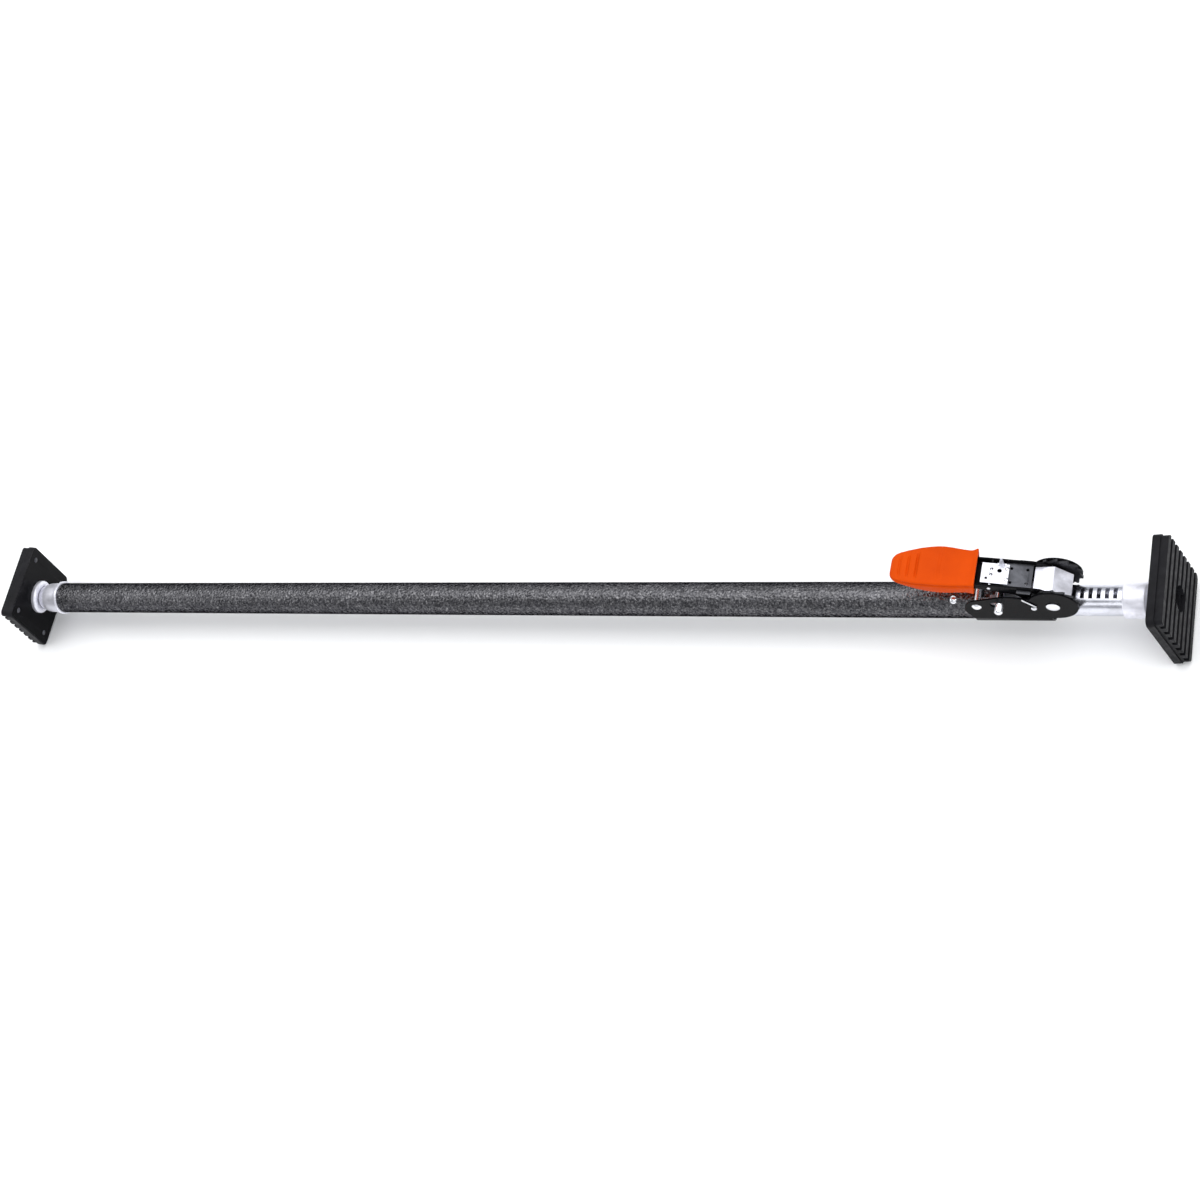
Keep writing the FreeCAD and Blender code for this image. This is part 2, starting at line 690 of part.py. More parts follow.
def grip_side():
    """Side view of the grip, in (-u, v): flared start, flat run, tip bent down."""
    top_start = V(-GRIP_START, 0, 29.5)
    top_dip = V(-GRIP_START - 8, 0, 26.6)
    top_bend = V(-GRIP_BEND, 0, 26.2)
    tip_top = V(-GRIP_END + 4, 0, 15.2)
    tip_low = V(-GRIP_END + 5, 0, 7.6)
    low_start = V(-GRIP_START, 0, 9.6)
    return [
        Part.Arc(top_start, V(-GRIP_START - 3.6, 0, 27.4), top_dip).toShape(),
        Part.Arc(top_dip, V(-GRIP_START - 22, 0, 26.0), top_bend).toShape(),
        Part.Arc(top_bend, V(-GRIP_BEND - 26, 0, 22.0), tip_top).toShape(),
        Part.Arc(tip_top, V(-GRIP_END, 0, 11.0), tip_low).toShape(),
        Part.Arc(tip_low, V(-GRIP_BEND, 0, 7.2), low_start).toShape(),
        Part.LineSegment(low_start, top_start).toShape(),
    ]


def grip_plan():
    """Plan view of the grip, in (-u, y): flare, waist, belly, then in to a blunt tip."""
    tip = -GRIP_END + 1.0
    edges = []
    for side in SIDES:
        flare = V(-GRIP_START, side * 22.0, 0)
        waist = V(-GRIP_START - 9, side * 19.4, 0)
        belly = V(-GRIP_BEND, side * 20.8, 0)
        shoulder = V(-GRIP_END + 6, side * 14.6, 0)
        corner = V(tip, side * 9.4, 0)
        edges.append(Part.Arc(flare, V(-GRIP_START - 4, side * 20.2, 0), waist).toShape())
        edges.append(Part.Arc(waist, V(-GRIP_START - 22, side * 20.4, 0), belly).toShape())
        edges.append(Part.Arc(belly, V(-GRIP_BEND - 24, side * 18.6, 0), shoulder).toShape())
        edges.append(Part.Arc(shoulder, V(tip + 1.6, side * 12.6, 0), corner).toShape())
    edges.append(Part.Arc(V(tip, 9.4, 0), V(-GRIP_END, 0, 0), V(tip, -9.4, 0)).toShape())
    edges.append(Part.LineSegment(V(-GRIP_START, -22, 0), V(-GRIP_START, 22, 0)).toShape())
    return Part.Face(Part.Wire(Part.__sortEdges__(edges)))


def build_handle_grip():
    """Moulded grip pushed over the end of the channel."""
    body = prism(grip_side(), PAST)
    plan = grip_plan()
    plan.translate(V(0, 0, -5))
    body = body.common(plan.extrude(Z_AXIS * PAST))
    core = outline([(-GRIP_START + 1, 12.6), (-FRAME_END - 0.1, 13.4),
                    (-FRAME_END - 0.1, FRAME_TOP + 0.1), (-GRIP_START + 1, FRAME_TOP + 0.1)],
                   EAR_OUT + 0.05)
    return set_handle(body.cut(core))


def grip_pin_rod():
    return rod(GRIP_PIN_R, V(-GRIP_PIN_U, -EAR_OUT, GRIP_PIN_V),
               V(-GRIP_PIN_U, EAR_OUT, GRIP_PIN_V))


def build_grip_pin():
    """Cross pin that keeps the grip on the channel."""
    return set_handle(grip_pin_rod())


def cross_pin_rod():
    return rod(CROSS_PIN_R, V(-CROSS_PIN_U, -EAR_OUT, CROSS_PIN_V),
               V(-CROSS_PIN_U, EAR_OUT, CROSS_PIN_V))


def build_cross_pin():
    """Pin across the channel that the pawl's spring pushes from."""
    return set_handle(cross_pin_rod())


def build_drive_pawl():
    """Sliding steel plate whose side lobes reach out over the ratchet wheels."""
    top = PAWL_LOW + PAWL_T
    half = EAR_IN - GAP
    reach = WHEEL_OUT - GAP
    plate = block(-PAWL_REAR, -PAWL_FRONT, -half, half, PAWL_LOW, top)
    lobes = block(-PAWL_FRONT - PAWL_LOBE, -PAWL_FRONT, -reach, reach, PAWL_LOW, top)
    plate = plate.fuse(lobes).removeSplitter()
    for u in (28.0, 44.0):
        for side in SIDES:
            plate = plate.cut(rod(1.5, V(-u, side * 8, 0), V(-u, side * 8, PAST)))
    return set_handle(plate)


def build_release_pull():
    """Bright finger plate on the pawl: holes, a turned-down tail and an upright tab."""
    low = PAWL_LOW + PAWL_T
    top = low + PULL_T
    sheet = block(-PULL_END, -PAWL_REAR + 4, -PULL_HALF, PULL_HALF, low, top)
    for u, y, radius in ((55.5, 3.5, 2.2), (63.5, 5.0, 1.6), (63.5, -1.5, 1.6), (68.0, -6.0, 1.3)):
        sheet = sheet.cut(rod(radius, V(-u, y, 0), V(-u, y, PAST)))
    tail = block(-PULL_END - PULL_T, -PULL_END, -PULL_HALF, PULL_HALF, low - 2.2, top)
    tab = outline([(-57.0, top), (-50.5, top), (-53.6, low + 17.0), (-55.0, low + 17.0)], 0.8)
    tab.translate(V(0, 9.6, 0))
    foot = block(-58.5, -49.0, 8.8, PULL_HALF, top, top + 1.0)
    return set_handle(sheet.fuse([tail, tab, foot]).removeSplitter())


def build_pull_rivets():
    """Heads of the two rivets that hold the pull to the pawl."""
    rivets = []
    for side in SIDES:
        seat = V(-PAWL_REAR + 2, side * 6.0, PAWL_LOW + PAWL_T + PULL_T)
        rivets.append(set_handle(dome(2.4, 1.1, seat, Z_AXIS)))
    return rivets


def build_drive_spring():
    """Coil between the cross pin and the pawl's rear edge."""
    spring = helix_spring(V(-CROSS_PIN_U + CROSS_PIN_R + 0.5, 0, CROSS_PIN_V),
                          V(-PAWL_REAR - 0.6, 0, CROSS_PIN_V), 1.45, 0.35, 7)
    return set_handle(spring)


# --- Lock bar ----------------------------------------------------------------------------

def build_lock_pawl():
    """Sliding zinc plate that drops into both wheels and stops them turning back."""
    front = AXLE_X - WHEEL_TIP_R - 2 * GAP
    low = LOCK_Z - LOCK_T / 2
    plate = block(AXLE_X - 66, front, -PLATE_IN + GAP, PLATE_IN - GAP, low, low + LOCK_T)
    notch = block(AXLE_X - 66.5, AXLE_X - 60, -8, 8, 0, PAST)
    mouth = block(front - 13, front + 1, -10, 10, 0, PAST)
    bay = rod(6, V(front - 13, 0, 0), V(front - 13, 0, PAST))
    seat = rod(LOCK_BAR_R, V(LOCK_BAR_X, -PAST, LOCK_BAR_Z), V(LOCK_BAR_X, PAST, LOCK_BAR_Z))
    return plate.cut([notch, mouth, bay, seat])


def build_release_bar():
    """Round bar through both plates: the thumb pulls its domed ends to free the wheels."""
    bar = rod(LOCK_BAR_R, V(LOCK_BAR_X, -LOCK_BAR_REACH, LOCK_BAR_Z),
              V(LOCK_BAR_X, LOCK_BAR_REACH, LOCK_BAR_Z))
    for side in SIDES:
        end = V(LOCK_BAR_X, side * LOCK_BAR_REACH, LOCK_BAR_Z)
        bar = bar.fuse(dome(LOCK_BAR_R, 2.4, end, Y_AXIS * side))
    return bar


def build_lock_springs():
    """Two coils between the cross bolt and the lock plate."""
    springs = []
    for side in SIDES:
        start = V(BOLT_X + BOLT_R + 0.6, side * 13.0, LOCK_Z)
        end = V(AXLE_X - 66.3, side * 13.0, LOCK_Z)
        springs.append(helix_spring(start, end, 2.2, 0.45, 5))
    return springs


def save_root():
    save("outer_tube", build_outer_tube())
    save("tube_bush", build_tube_bush())
    save("bush_rivets", *build_bush_rivets())
    save("left_ferrule", build_left_ferrule())
    save("saddle_bracket", build_bracket())
    save("saddle_rivets", *build_saddle_rivets())
    save("rear_cross_bolt", build_rear_bolt())
    save("stop_pin", build_stop_pin())
    save("retaining_wire", build_retaining_wire())
    save("gear_guard", build_gear_guard())
    save("guard_rivets", *build_guard_rivets())


def save_ratchet():
    save("axle", build_axle())
    save("drive_pinion", build_pinion())
    save("spacer_sleeves", *build_sleeves())
    save("near_ratchet_wheel", build_wheel(-1))
    save("far_ratchet_wheel", build_wheel(1))
    save("handle_frame", build_handle_frame())
    save("handle_grip", build_handle_grip())
    save("grip_pin", build_grip_pin())
    save("pawl_cross_pin", build_cross_pin())
    save("drive_pawl", build_drive_pawl())
    save("release_pull", build_release_pull())
    save("pull_rivets", *build_pull_rivets())
    save("drive_pawl_spring", build_drive_spring())
    save("lock_pawl", build_lock_pawl())
    save("release_bar", build_release_bar())
    save("lock_springs", *build_lock_springs())


def save_inner():
    save("inner_tube", build_inner_tube())
    save("inner_glide", build_inner_glide())
    save("right_ferrule", build_right_ferrule())


save_root()
save_ratchet()
save_inner()
save_swivel("left", V(LEFT_SWIVEL_X, 0, 0), 1, LEFT_TILT)
save_swivel("right", V(RIGHT_SWIVEL_X, 0, 0), -1, RIGHT_TILT)
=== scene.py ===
"""Looks of the ratcheting cargo bar: materials, moulded and pressed pieces, camera and light."""
import json
import math

import bmesh
import bpy
from mathutils import Matrix, Vector


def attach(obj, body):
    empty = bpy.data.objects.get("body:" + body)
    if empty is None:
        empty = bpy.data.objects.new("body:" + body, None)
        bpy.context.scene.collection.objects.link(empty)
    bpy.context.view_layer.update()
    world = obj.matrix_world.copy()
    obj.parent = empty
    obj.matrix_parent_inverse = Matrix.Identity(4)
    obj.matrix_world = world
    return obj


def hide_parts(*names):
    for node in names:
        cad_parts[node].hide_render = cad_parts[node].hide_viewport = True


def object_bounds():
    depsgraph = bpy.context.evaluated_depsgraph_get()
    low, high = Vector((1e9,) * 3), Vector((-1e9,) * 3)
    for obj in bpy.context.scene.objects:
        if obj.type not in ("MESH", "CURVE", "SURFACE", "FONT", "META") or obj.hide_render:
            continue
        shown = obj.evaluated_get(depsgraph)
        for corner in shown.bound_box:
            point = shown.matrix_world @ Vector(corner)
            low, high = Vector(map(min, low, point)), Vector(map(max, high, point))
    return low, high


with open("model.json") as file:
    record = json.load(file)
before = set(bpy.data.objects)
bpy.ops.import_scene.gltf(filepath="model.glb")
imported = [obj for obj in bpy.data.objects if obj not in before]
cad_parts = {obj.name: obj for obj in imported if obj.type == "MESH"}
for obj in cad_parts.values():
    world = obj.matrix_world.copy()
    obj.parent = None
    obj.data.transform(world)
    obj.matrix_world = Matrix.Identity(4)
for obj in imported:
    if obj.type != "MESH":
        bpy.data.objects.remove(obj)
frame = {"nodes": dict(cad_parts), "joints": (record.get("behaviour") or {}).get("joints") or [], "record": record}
CAD_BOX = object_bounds()
MM = 0.001
JOINTS = {joint["name"]: joint for joint in frame["joints"]}
AXLE = Vector(JOINTS["handle_swing"]["pos_m"])
# Slope of the handle at rest, up from the bar towards the grip's end
HANDLE_RISE = math.radians(11.6)
# Edges that fold by more than this are rounded
SHARP_FOLD = math.radians(35)
# Points closer than this, in m, are one point: in the CAD meshes, and in the grip
SAME_POINT = 0.000002
SAME_GRIP_POINT = 0.000001


# --- Camera, floor and light -------------------------------------------------------------

# Camera: turn from square-on towards the ratchet's end, lift from level, and roll; distance
# from the point aimed at, and how far the picture is raised, in m
VIEW_TURN = math.radians(26.4)
VIEW_LIFT = math.radians(61.5)
VIEW_ROLL = math.radians(0.16)
VIEW_DISTANCE = 2.259
VIEW_AIM = Vector((0.141, 0, 0))
VIEW_RAISE = 0.0011
LENS_MM = 60.0
SENSOR_MM = 36.0
CLIP_NEAR, CLIP_FAR = 0.05, 150.0

# The floor is wide enough to fill low views, and lies a hair below the pads
FLOOR_HALF = 60.0
FLOOR_GAP = 0.0004

WORLD_COLOR = (0.94, 0.96, 1.0, 1)
WORLD_STRENGTH = 0.50
# Overhead diffuser, as a very wide sun that stands a little to the back
DIFFUSER_POWER = 1.6
DIFFUSER_SPREAD = math.radians(80)
DIFFUSER_LEAN = math.radians(-9)
# Soft boxes: name, place, point faced, direction of the long side, size in m, watts
SOFT_BOXES = (
    ("softbox_over", (0.0, 0.25, 2.5), (0.0, 0, 0), (1, 0, 0), (5.4, 1.6), 26),
    ("softbox_front", (1.0, -2.9, 2.0), (0.1, 0, 0), (1, 0, 0), (3.2, 1.2), 16),
    ("softbox_end", (3.0, -0.6, 1.5), (0.7, 0, 0), (0, 1, 0), (2.4, 1.8), 26),
    ("softbox_left", (-2.9, -0.9, 1.2), (-0.6, 0, 0), (0, 1, 0), (2.0, 1.2), 16),
    ("softbox_back", (-1.5, 3.0, 1.5), (0, 0, 0), (1, 0, 0), (2.4, 1.2), 12),
)


def view_axes():
    """Right, up and backward directions of the camera."""
    back = Vector((math.sin(VIEW_TURN), -math.cos(VIEW_TURN) * math.cos(VIEW_LIFT),
                   math.cos(VIEW_TURN) * math.sin(VIEW_LIFT)))
    up = Vector((0, math.sin(VIEW_LIFT), math.cos(VIEW_LIFT)))
    right = up.cross(back)
    turn = Matrix.Rotation(VIEW_ROLL, 3, back)
    return turn @ right, turn @ up, back


def make_camera():
    """Camera at the photograph's viewing angle."""
    right, up, back = view_axes()
    camera = bpy.data.objects.new("camera", bpy.data.cameras.new("camera"))
    bpy.context.scene.collection.objects.link(camera)
    place = Matrix((right, up, back)).transposed().to_4x4()
    place.translation = VIEW_AIM + back * VIEW_DISTANCE - up * VIEW_RAISE
    camera.matrix_world = place
    camera.data.lens = LENS_MM
    camera.data.sensor_width = SENSOR_MM
    camera.data.clip_start = CLIP_NEAR
    camera.data.clip_end = CLIP_FAR
    bpy.context.scene.camera = camera


def make_floor(material):
    """Wide pale floor just under the pads."""
    mesh = bpy.data.meshes.new("floor")
    half = FLOOR_HALF
    z = CAD_BOX[0].z - FLOOR_GAP
    corners = [(-half, -half, z), (half, -half, z), (half, half, z), (-half, half, z)]
    mesh.from_pydata(corners, [], [(0, 1, 2, 3)])
    mesh.materials.append(material)
    floor = bpy.data.objects.new("floor", mesh)
    bpy.context.scene.collection.objects.link(floor)


def area_light(name, place, aim, along, size, watts):
    """Soft box at a place, facing a point, with its long side along a direction."""
    light = bpy.data.lights.new(name, "AREA")
    light.shape = "RECTANGLE"
    light.size, light.size_y = size
    light.energy = watts
    lamp = bpy.data.objects.new(name, light)
    bpy.context.scene.collection.objects.link(lamp)
    back = (Vector(place) - Vector(aim)).normalized()
    over = back.cross(Vector(along)).normalized()
    turn = Matrix((over.cross(back), over, back)).transposed().to_4x4()
    turn.translation = Vector(place)
    lamp.matrix_world = turn


def make_light():
    """Bright even studio under a broad overhead diffuser, with soft boxes round the bar."""
    world = bpy.data.worlds.new("studio")
    world.use_nodes = True
    background = world.node_tree.nodes["Background"]
    background.inputs["Color"].default_value = WORLD_COLOR
    background.inputs["Strength"].default_value = WORLD_STRENGTH
    bpy.context.scene.world = world
    diffuser = bpy.data.lights.new("diffuser_over", "SUN")
    diffuser.energy = DIFFUSER_POWER
    diffuser.angle = DIFFUSER_SPREAD
    lamp = bpy.data.objects.new("diffuser_over", diffuser)
    lamp.rotation_euler.x = DIFFUSER_LEAN
    bpy.context.scene.collection.objects.link(lamp)
    for soft_box in SOFT_BOXES:
        area_light(*soft_box)


# --- Materials ---------------------------------------------------------------------------

class Surface:
    """A Principled material with short calls for the procedural nodes that feed it.

    The keywords are the shader's own sockets, with _ for a space.
    """

    def __init__(self, name, **sockets):
        self.material = bpy.data.materials.new(name)
        self.material.use_nodes = True
        self.tree = self.material.node_tree
        self.shader = self.tree.nodes["Principled BSDF"]
        for socket, value in sockets.items():
            self.shader.inputs[socket.replace("_", " ")].default_value = value
        self.place = self.tree.nodes.new("ShaderNodeTexCoord").outputs["Object"]

    def feed(self, socket, value):
        """Link an output to a socket, or set the socket to a plain value."""
        if isinstance(value, bpy.types.NodeSocket):
            self.tree.links.new(value, socket)
        else:
            socket.default_value = value

    def node(self, kind, **inputs):
        """New node, its inputs named as in __init__."""
        made = self.tree.nodes.new(kind)
        for socket, value in inputs.items():
            self.feed(made.inputs[socket.replace("_", " ")], value)
        return made

    def stretched(self, x, y, z):
        """Object coordinates scaled along each axis, for grain that runs one way."""
        return self.node("ShaderNodeMapping", Vector=self.place, Scale=(x, y, z)).outputs[0]

    def noise(self, scale, detail, rough, place=None, warp=0.0):
        """Cloudy noise, at a number of features per metre."""
        made = self.node("ShaderNodeTexNoise", Vector=place or self.place, Scale=scale,
                         Detail=detail, Roughness=rough, Distortion=warp)
        return made.outputs["Fac"]

    def cells(self, scale):
        """Voronoi cells, at a number of cells per metre."""
        return self.node("ShaderNodeTexVoronoi", Vector=self.place, Scale=scale)

    def ramp(self, value, *stops):
        """Colours, or greys, blended between stops, each (place from 0 to 1, colour or grey)."""
        made = self.node("ShaderNodeValToRGB", Fac=value)
        band = made.color_ramp
        while len(band.elements) < len(stops):
            band.elements.new(0.5)
        for element, (place, color) in zip(band.elements, stops):
            element.position = place
            element.color = (*color, 1) if hasattr(color, "__len__") else (color,) * 3 + (1,)
        return made.outputs["Color"]

    def product(self, first, second):
        """Product of two heights or greys."""
        made = self.tree.nodes.new("ShaderNodeMath")
        made.operation = "MULTIPLY"
        for socket, value in zip(made.inputs, (first, second)):
            self.feed(socket, value)
        return made.outputs[0]

    def shade(self, amount, base, tone):
        """Colour darkened by a tone, by an amount from 0 to 1."""
        made = self.tree.nodes.new("ShaderNodeMix")
        made.data_type = "RGBA"
        made.blend_type = "MULTIPLY"
        colors = [socket for socket in made.inputs if socket.type == "RGBA"]
        for socket, value in zip([made.inputs[0]] + colors, (amount, base, tone)):
            self.feed(socket, value)
        return [socket for socket in made.outputs if socket.type == "RGBA"][0]

    def color(self, output):
        """Feed the shader's base colour."""
        self.tree.links.new(output, self.shader.inputs["Base Color"])

    def rough(self, output):
        """Feed the shader's roughness."""
        self.tree.links.new(output, self.shader.inputs["Roughness"])

    def bump(self, *heights):
        """Stacked bumps, each (height output, strength, depth in metres)."""
        normal = None
        for height, strength, depth in heights:
            made = self.node("ShaderNodeBump", Height=height, Strength=strength, Distance=depth)
            if normal:
                self.tree.links.new(normal, made.inputs["Normal"])
            normal = made.outputs["Normal"]
        self.tree.links.new(normal, self.shader.inputs["Normal"])


def hammered_black():
    """Hammertone stoving paint: small dimples in black lacquer over aluminium flake."""
    s = Surface("hammered_black_paint", Metallic=1.0, Specular_Tint=(0.10, 0.10, 0.11, 1))
    cells = s.cells(330)
    cells.feature = "SMOOTH_F1"
    cells.inputs["Smoothness"].default_value = 0.35
    dimples = cells.outputs["Distance"]
    grain = s.noise(430, 3, 0.6, warp=0.5)
    drift = s.noise(90, 3, 0.6)
    body = s.ramp(grain, (0.34, (0.050, 0.050, 0.057)), (0.52, (0.125, 0.124, 0.132)),
                  (0.72, (0.30, 0.297, 0.305)))
    s.color(s.shade(1.0, body, s.ramp(drift, (0.30, 0.60), (0.70, 1.0))))
    s.rough(s.ramp(s.product(dimples, grain), (0.08, 0.20), (0.42, 0.38)))
    s.bump((dimples, 0.85, 0.0008), (grain, 0.50, 0.0004))
    return s.material


def black_paint():
    """Smooth black enamel with faint orange peel, dust and hairline scuffs."""
    s = Surface("black_enamel", Specular_IOR_Level=0.04)
    peel = s.noise(520, 2, 0.5)
    dust = s.noise(34, 5, 0.65)
    scuff = s.noise(60, 6, 0.8, place=s.stretched(1, 6, 9))
    s.color(s.ramp(dust, (0.30, (0.0014, 0.0014, 0.0020)), (0.75, (0.005, 0.005, 0.006))))
    s.rough(s.ramp(scuff, (0.40, 0.16), (0.62, 0.26), (0.74, 0.44)))
    s.bump((peel, 0.10, 0.00012), (scuff, 0.05, 0.0001))
    return s.material


def zinc(name, tint, low, high, grain, metallic=1.0):
    """Bright zinc plate: soft spangle, cloudy passivation and fine drawing lines.

    low and high bound the roughness, and grain is the number of spangles per metre.
    """
    s = Surface(name, Metallic=metallic)
    cloud = s.noise(45, 4, 0.6, warp=0.6)
    spangle = s.cells(grain).outputs["Color"]
    lines = s.noise(90, 4, 0.75, place=s.stretched(1.0, 14, 14))
    dark = tuple(0.66 * part for part in tint)
    bright = tuple(min(1, 1.08 * part) for part in tint)
    base = s.ramp(cloud, (0.25, dark), (0.55, tint), (0.80, bright))
    grey = s.node("ShaderNodeRGBToBW", Color=spangle).outputs[0]
    s.color(s.shade(0.22, base, s.ramp(grey, (0.2, 0.72), (0.8, 1.0))))
    s.rough(s.ramp(s.product(cloud, lines), (0.12, low), (0.42, high)))
    s.bump((lines, 0.10, 0.0001), (cloud, 0.12, 0.0004))
    return s.material


def dark_steel():
    """Oil-blackened steel with worn, slightly brighter patches."""
    s = Surface("blackened_steel", Metallic=0.85)
    patch = s.noise(85, 5, 0.65, warp=0.3)
    grain = s.noise(900, 2, 0.6)
    s.color(s.ramp(patch, (0.30, (0.018, 0.018, 0.020)), (0.62, (0.055, 0.056, 0.062)),
                   (0.80, (0.13, 0.13, 0.14))))
    s.rough(s.ramp(grain, (0.25, 0.32), (0.75, 0.55)))
    s.bump((patch, 0.20, 0.0003), (grain, 0.12, 0.00008))
    return s.material


def pawl_steel():
    """Dark grey plate with rolling marks and oil stains."""
    s = Surface("gunmetal_plate", Metallic=0.9)
    roll = s.noise(110, 5, 0.8, place=s.stretched(1.2, 12, 1.2))
    stain = s.noise(60, 5, 0.6, warp=0.8)
    s.color(s.ramp(stain, (0.25, (0.040, 0.041, 0.047)), (0.70, (0.115, 0.118, 0.132))))
    s.rough(s.ramp(roll, (0.25, 0.30), (0.80, 0.50)))
    s.bump((roll, 0.15, 0.0001), (stain, 0.10, 0.0002))
    return s.material


def orange_grip():
    """Dyed soft plastic with a fine spark-eroded texture and slightly uneven gloss."""
    s = Surface("orange_grip_plastic", Specular_IOR_Level=0.05)
    texture = s.noise(1500, 3, 0.6)
    cloud = s.noise(28, 4, 0.5)
    s.color(s.ramp(cloud, (0.30, (0.53, 0.052, 0.001)), (0.72, (0.61, 0.064, 0.001))))
    s.rough(s.ramp(s.noise(240, 4, 0.6), (0.30, 0.38), (0.72, 0.54)))
    s.bump((texture, 0.14, 0.00010), (cloud, 0.06, 0.0006))
    return s.material


def black_rubber():
    """Moulded rubber, greyed by bloom and dust, with a fine matt skin."""
    s = Surface("black_rubber_skin", Specular_IOR_Level=0.12)
    bloom = s.noise(30, 5, 0.65, warp=0.5)
    skin = s.noise(1100, 3, 0.65)
    s.color(s.ramp(bloom, (0.30, (0.004, 0.004, 0.005)), (0.78, (0.014, 0.014, 0.017))))
    s.rough(s.ramp(s.noise(160, 4, 0.6), (0.30, 0.42), (0.70, 0.66)))
    s.bump((skin, 0.22, 0.00012), (bloom, 0.10, 0.0005))
    return s.material


def black_plastic():
    """Plain black nylon with drawn flow marks."""
    s = Surface("black_nylon")
    flow = s.noise(60, 4, 0.6, place=s.stretched(0.3, 3, 3))
    s.color(s.ramp(flow, (0.3, (0.012, 0.012, 0.012)), (0.7, (0.030, 0.030, 0.031))))
    s.rough(s.ramp(flow, (0.3, 0.38), (0.7, 0.56)))
    s.bump((s.noise(700, 2, 0.5), 0.12, 0.0001))
    return s.material


def floor_paint():
    """Pale studio floor with the slightest mottling."""
    s = Surface("studio_floor", Roughness=0.9)
    s.color(s.ramp(s.noise(1.5, 3, 0.5), (0.3, (0.90, 0.905, 0.91)), (0.7, (0.93, 0.93, 0.93))))
    return s.material


# --- Dressing the CAD nodes --------------------------------------------------------------

def soften(piece, bevel):
    """Round a piece's sharp edges by a width in mm."""
    weld = piece.modifiers.new("weld", "WELD")
    weld.merge_threshold = SAME_POINT
    edges = piece.modifiers.new("soften", "BEVEL")
    edges.width = bevel * MM
    edges.segments = 2
    edges.limit_method = "ANGLE"
    edges.angle_limit = SHARP_FOLD
    edges.harden_normals = True


def dress(node, material, bevel):
    """Give a CAD node its material, and round its edges by a width in mm."""
    piece = frame["nodes"][node]
    piece.data.materials.clear()
    piece.data.materials.append(material)
    if bevel:
        soften(piece, bevel)


# --- New pieces --------------------------------------------------------------------------

def body_of(node):
    """Name of the body that carries a CAD node."""
    return next(name for name, body in frame["record"]["behaviour"]["bodies"].items()
                if node in body)


def add_piece(name, mesh, material, slot, *nodes):
    """Put a mesh in the scene in place of CAD nodes, riding on their body."""
    mesh.materials.append(material)
    for polygon in mesh.polygons:
        polygon.use_smooth = True
    piece = bpy.data.objects.new(name, mesh)
    bpy.context.scene.collection.objects.link(piece)
    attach(piece, body_of(nodes[0]))
    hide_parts(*nodes)
    return piece


def blend_table(rows, place):
    """Row of a table at a place, interpolated between the rows either side."""
    if place <= rows[0][0]:
        return rows[0][1:]
    for low, high in zip(rows, rows[1:]):
        if place <= high[0]:
            share = (place - low[0]) / (high[0] - low[0])
            return [a + (b - a) * share for a, b in zip(low[1:], high[1:])]
    return rows[-1][1:]


# Distance from the axle, half width, top and bottom of the grip, in mm
GRIP_ROWS = (
    (78.0, 22.0, 28.9, 10.2), (78.5, 22.7, 29.4, 9.6), (79.6, 22.6, 29.3, 9.4),
    (81.5, 21.9, 27.9, 9.2), (84.0, 21.3, 26.9, 8.9), (87.0, 21.2, 26.5, 8.6),
    (94.0, 21.8, 26.2, 8.1), (104.0, 22.8, 26.2, 7.4), (112.0, 23.2, 26.3, 7.0),
    (118.0, 23.1, 25.8, 6.8), (126.0, 22.6, 24.3, 6.7), (136.0, 21.5, 22.1, 6.8),
    (148.0, 19.2, 18.9, 7.1), (157.0, 16.8, 16.3, 7.5), (161.0, 14.9, 15.0, 7.8),
    (163.6, 12.5, 13.9, 8.5), (165.0, 9.8, 12.8, 9.6), (165.4, 7.6, 12.0, 10.4),
)
# Rings of the grip between its ends: first place, spacing and count, closer at the grooves
GRIP_RINGS = ((87.0, 2.0, 13), (112.5, 0.75, 65))
# Places of the cross grooves along the grip and their depths, and half of a groove's width
GRIP_GROOVES = ((115.0, 0.6), (138.0, 2.1), (147.0, 1.7), (156.0, 1.4))
GROOVE_HALF = 1.7
# Top panel: distance in from the side, steps across, drop at its edge, and the grooves' reach
# across it, as a share of its half width
PANEL_INSET = 2.2
PANEL_STEPS = 8
PANEL_DROP = 0.5
GROOVE_REACH = 0.80
# Steps down the grip's side, as distances in from the side and down from the top. They close up
# where the grip is less tall than SHOULDER_TALL.
GRIP_SHOULDER = ((1.0, 1.1), (0.55, 2.1), (0.6, 3.0), (2.2, 3.7), (0.5, 4.5), (0.0, 5.8))
SHOULDER_TALL = 12.0
# Skirt: distance in from the side, and height above the bottom in mm and as a share of the
# grip's height, of which the smaller holds
GRIP_SKIRT = ((0.0, 5.0, 0.38), (0.35, 2.4, 0.2), (1.6, 0.5, 1.0), (3.6, 0.1, 1.0))
# Points across the flat bottom, as shares of the half width
GRIP_SOLE = (0.55, 0.25, 0.0)
# Pocket for the handle's channel, and how far the rolled lip goes towards it at the mouth
POCKET_HALF = 16.3
POCKET_LOW = 12.3
POCKET_TOP = 22.15
POCKET_END = 132.2
LIP_SHARE = 0.3
# Radius in mm, and number of steps, of the rubber pads' rolled edges
PAD_EDGE = 0.8
PAD_EDGE_STEPS = 3


def handle_point(along, across, above):
    """Place in the scene of a point given in the handle's own directions, in mm."""
    lean, rise = math.cos(HANDLE_RISE), math.sin(HANDLE_RISE)
    offset = Vector((above * rise - along * lean, across, above * lean + along * rise))
    return AXLE + offset * MM


def groove(along):
    """Depth of the cross grooves at a distance from the axle."""
    deepest = 0.0
    for centre, depth in GRIP_GROOVES:
        near = max(0.0, 1 - (abs(along - centre) / GROOVE_HALF) ** 2)
        deepest = max(deepest, depth * near * near * (3 - 2 * near))
    return deepest


